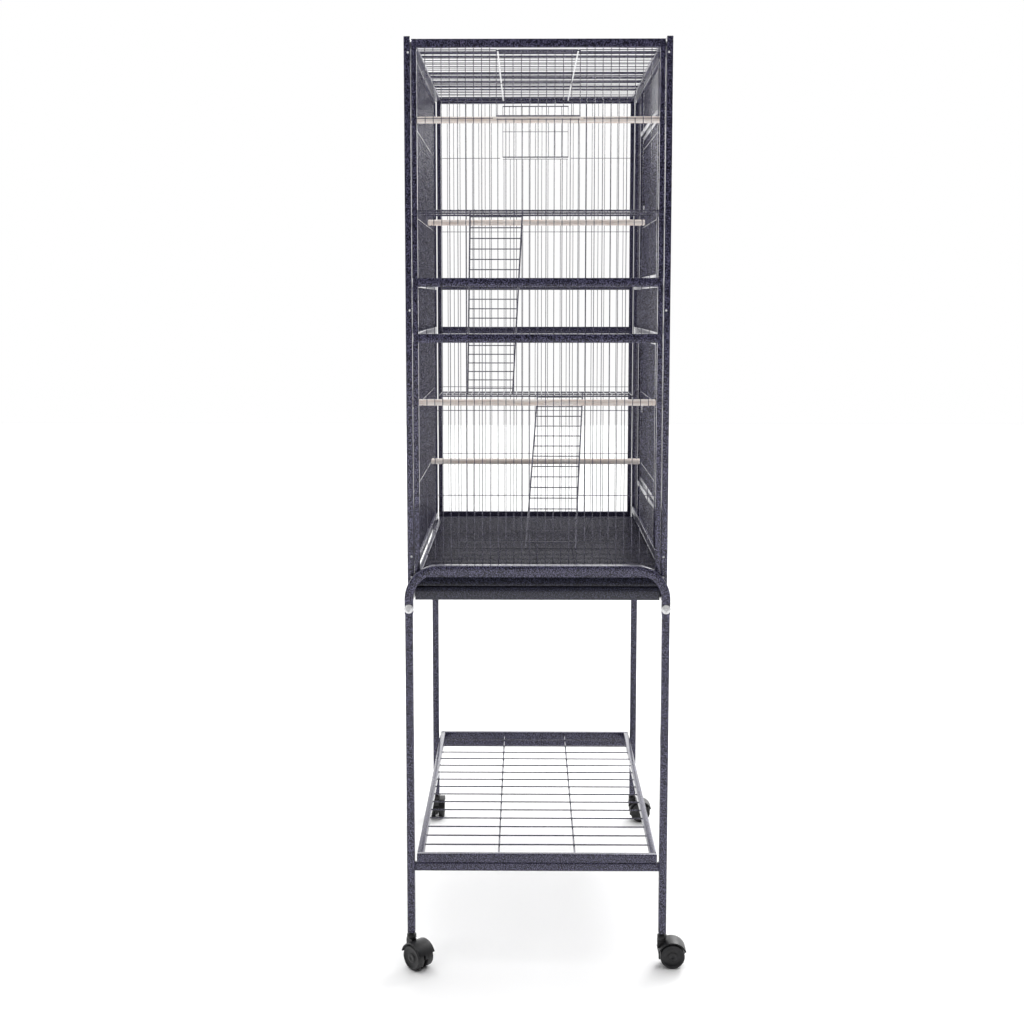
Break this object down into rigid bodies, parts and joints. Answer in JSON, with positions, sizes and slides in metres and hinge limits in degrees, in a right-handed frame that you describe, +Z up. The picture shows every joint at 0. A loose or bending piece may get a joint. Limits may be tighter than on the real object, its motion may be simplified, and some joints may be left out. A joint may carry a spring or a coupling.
{
  "type": "bird cage on stand",
  "caption": "Tall oblong wire flight cage on a rolling tube stand with wire shelf, side doors, end nest doors, pull-out tray and grate, perches, platforms and ladders.",
  "frame": {"origin": "on the floor, under the middle of the bounding box, castors turned as at rest", "axes": "+Z up; -Y towards the front end panel; +X towards the side with the large doors"},
  "size_m": [0.5687, 0.8952, 1.82],
  "materials": {
    "hammered_frame": "hammered powder coat",
    "coated_wire": "semi-gloss powder coat",
    "tray_sheet": "fine textured powder coat",
    "perch_wood": "bare sanded",
    "castor_plastic": "moulded satin",
    "bright_zinc": "bright zinc plate"
  },
  "bodies": {
    "cage_and_stand": {"front_bow": "hammered_frame", "front_leg_frame": "hammered_frame", "front_left_bow_bolt": "bright_zinc", "front_right_bow_bolt": "bright_zinc", "back_bow": "hammered_frame", "back_leg_frame": "hammered_frame", "back_left_bow_bolt": "bright_zinc", "back_right_bow_bolt": "bright_zinc", "storage_shelf": "hammered_frame", "base_front_sheet": "hammered_frame", "base_back_sheet": "hammered_frame", "base_side_sheet": "hammered_frame", "base_sill": "hammered_frame", "front_end_frame": "hammered_frame", "front_lower_grille": "coated_wire", "front_middle_grille": "coated_wire", "front_upper_grille": "coated_wire", "back_end_frame": "hammered_frame", "back_lower_grille": "coated_wire", "back_middle_grille": "coated_wire", "back_upper_grille": "coated_wire", "closed_side_frame": "hammered_frame", "closed_side_lower_grille": "coated_wire", "closed_side_middle_grille": "coated_wire", "closed_side_upper_grille": "coated_wire", "door_side_frame": "hammered_frame", "door_side_lower_front_grille": "coated_wire", "door_side_lower_back_grille": "coated_wire", "door_side_upper_front_grille": "coated_wire", "door_side_upper_back_grille": "coated_wire", "door_side_middle_grille": "coated_wire", "door_side_under_door_grille": "coated_wire", "door_side_over_door_grille": "coated_wire", "roof_panel": "hammered_frame", "high_platform": "coated_wire", "low_platform": "coated_wire", "perch_1": "perch_wood", "perch_2": "perch_wood", "perch_3": "perch_wood", "perch_4": "perch_wood"},
    "front_left_castor": {"front_left_castor_hood": "castor_plastic"},
    "front_left_wheels": {"front_left_castor_wheels": "castor_plastic"},
    "front_right_castor": {"front_right_castor_hood": "castor_plastic"},
    "front_right_wheels": {"front_right_castor_wheels": "castor_plastic"},
    "back_left_castor": {"back_left_castor_hood": "castor_plastic"},
    "back_left_wheels": {"back_left_castor_wheels": "castor_plastic"},
    "back_right_castor": {"back_right_castor_hood": "castor_plastic"},
    "back_right_wheels": {"back_right_castor_wheels": "castor_plastic"},
    "lower_door": {"lower_door": "hammered_frame"},
    "lower_door_bolt": {"lower_door_bolt": "bright_zinc"},
    "upper_door": {"upper_door": "hammered_frame"},
    "upper_door_bolt": {"upper_door_bolt": "bright_zinc"},
    "front_nest_door": {"front_nest_door": "coated_wire"},
    "back_nest_door": {"back_nest_door": "coated_wire"},
    "seed_tray": {"seed_tray": "tray_sheet"},
    "floor_grate": {"floor_grate": "coated_wire"},
    "high_ladder": {"high_ladder": "coated_wire"},
    "low_ladder": {"low_ladder": "coated_wire"}
  },
  "joints": [
    {"name": "front_left_castor_swivel", "type": "hinge", "parent": "cage_and_stand", "child": "front_left_castor", "pos_m": [-0.2641, -0.4, 0.06], "axis": [0, 0, 1], "continuous": true},
    {"name": "front_left_wheels_roll", "type": "hinge", "parent": "front_left_castor", "child": "front_left_wheels", "pos_m": [-0.24996, -0.41414, 0.02469], "axis": [0.7071, 0.7071, 0], "continuous": true},
    {"name": "front_right_castor_swivel", "type": "hinge", "parent": "cage_and_stand", "child": "front_right_castor", "pos_m": [0.2369, -0.4, 0.06], "axis": [0, 0, 1], "continuous": true},
    {"name": "front_right_wheels_roll", "type": "hinge", "parent": "front_right_castor", "child": "front_right_wheels", "pos_m": [0.2569, -0.4, 0.02469], "axis": [0, 1, 0], "continuous": true},
    {"name": "back_left_castor_swivel", "type": "hinge", "parent": "cage_and_stand", "child": "back_left_castor", "pos_m": [-0.2641, 0.4, 0.06], "axis": [0, 0, 1], "continuous": true},
    {"name": "back_left_wheels_roll", "type": "hinge", "parent": "back_left_castor", "child": "back_left_wheels", "pos_m": [-0.2641, 0.42, 0.02469], "axis": [-1, 0, 0], "continuous": true},
    {"name": "back_right_castor_swivel", "type": "hinge", "parent": "cage_and_stand", "child": "back_right_castor", "pos_m": [0.2369, 0.4, 0.06], "axis": [0, 0, 1], "continuous": true},
    {"name": "back_right_wheels_roll", "type": "hinge", "parent": "back_right_castor", "child": "back_right_wheels", "pos_m": [0.2569, 0.4, 0.02469], "axis": [0, 1, 0], "continuous": true},
    {"name": "lower_door_swing", "type": "hinge", "parent": "cage_and_stand", "child": "lower_door", "pos_m": [0.2409, -0.212, 1.073], "axis": [0, 0, -1], "range_deg": [0, 150]},
    {"name": "lower_door_bolt_slide", "type": "slide", "parent": "lower_door", "child": "lower_door_bolt", "axis": [0, 1, 0], "range_m": [0, 0.012]},
    {"name": "upper_door_swing", "type": "hinge", "parent": "cage_and_stand", "child": "upper_door", "pos_m": [0.2409, -0.212, 1.534], "axis": [0, 0, -1], "range_deg": [0, 150]},
    {"name": "upper_door_bolt_slide", "type": "slide", "parent": "upper_door", "child": "upper_door_bolt", "axis": [0, 1, 0], "range_m": [0, 0.012]},
    {"name": "front_nest_door_lift", "type": "hinge", "parent": "cage_and_stand", "child": "front_nest_door", "pos_m": [-0.0136, -0.3883, 1.7953], "axis": [-1, 0, 0], "range_deg": [0, 100]},
    {"name": "back_nest_door_lift", "type": "hinge", "parent": "cage_and_stand", "child": "back_nest_door", "pos_m": [-0.0136, 0.3883, 1.7953], "axis": [1, 0, 0], "range_deg": [0, 100]},
    {"name": "seed_tray_pull", "type": "slide", "parent": "cage_and_stand", "child": "seed_tray", "axis": [1, 0, 0], "range_m": [0, 0.44]},
    {"name": "floor_grate_pull", "type": "slide", "parent": "cage_and_stand", "child": "floor_grate", "axis": [1, 0, 0], "range_m": [0, 0.44]},
    {"name": "high_ladder_lift", "type": "hinge", "parent": "cage_and_stand", "child": "high_ladder", "pos_m": [-0.0966, -0.219, 1.503], "axis": [1, 0, 0], "range_deg": [0, 25]},
    {"name": "low_ladder_lift", "type": "hinge", "parent": "cage_and_stand", "child": "low_ladder", "pos_m": [0.0444, 0.219, 1.108], "axis": [-1, 0, 0], "range_deg": [0, 25]}
  ]
}
